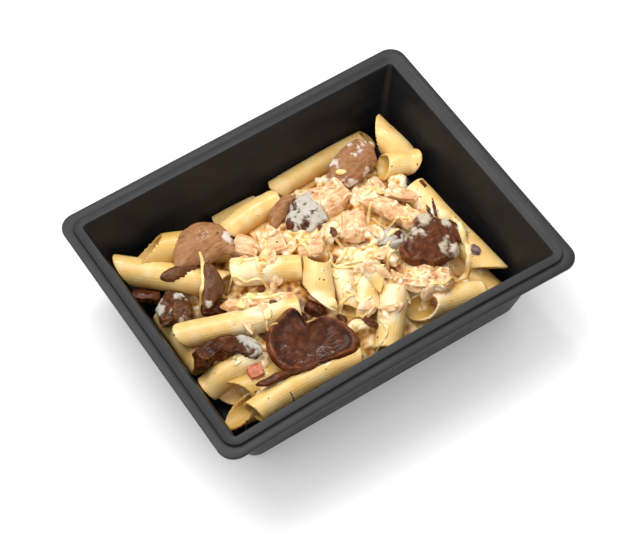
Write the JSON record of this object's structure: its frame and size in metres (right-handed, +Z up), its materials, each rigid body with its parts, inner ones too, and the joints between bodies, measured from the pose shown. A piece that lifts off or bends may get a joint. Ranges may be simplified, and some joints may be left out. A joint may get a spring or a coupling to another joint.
{
  "type": "ready meal in a plastic tray",
  "caption": "Penne with mushroom slices and chicken pieces in a cream sauce, in a rectangular black plastic ready meal tray with a stepped rim.",
  "frame": {"origin": "middle of the tray's underside, on the surface that it stands on", "axes": "+X along the long side of the rim, +Y along the short side, +Z up"},
  "size_m": [0.187, 0.1496, 0.046],
  "materials": {
    "tray": "black moulded CPET, satin",
    "pasta": "boiled pasta with cream sauce, moist",
    "mushroom": "cooked mushroom, moist",
    "chicken": "cooked chicken with cream sauce, moist",
    "ham": "cooked ham, moist"
  },
  "bodies": {
    "root": {"chicken_back": "chicken", "chicken_cube": "chicken", "chicken_front": "chicken", "chicken_left": "chicken", "chicken_long": "chicken", "chicken_middle": "chicken", "chicken_pale": "chicken", "chicken_right": "chicken", "chicken_roll": "chicken", "ham_cube": "ham", "mushroom_back_cap": "mushroom", "mushroom_back_red": "mushroom", "mushroom_bit": "mushroom", "mushroom_crescent": "mushroom", "mushroom_front_cap": "mushroom", "mushroom_front_strip": "mushroom", "mushroom_left_cap": "mushroom", "mushroom_left_curl": "mushroom", "mushroom_left_dark": "mushroom", "mushroom_left_edge": "mushroom", "mushroom_left_fold": "mushroom", "mushroom_left_half": "mushroom", "mushroom_middle": "mushroom", "mushroom_right_cap": "mushroom", "mushroom_right_chip": "mushroom", "mushroom_sauced": "mushroom", "pasta_heap": "pasta", "tray": "tray"}
  },
  "joints": []
}
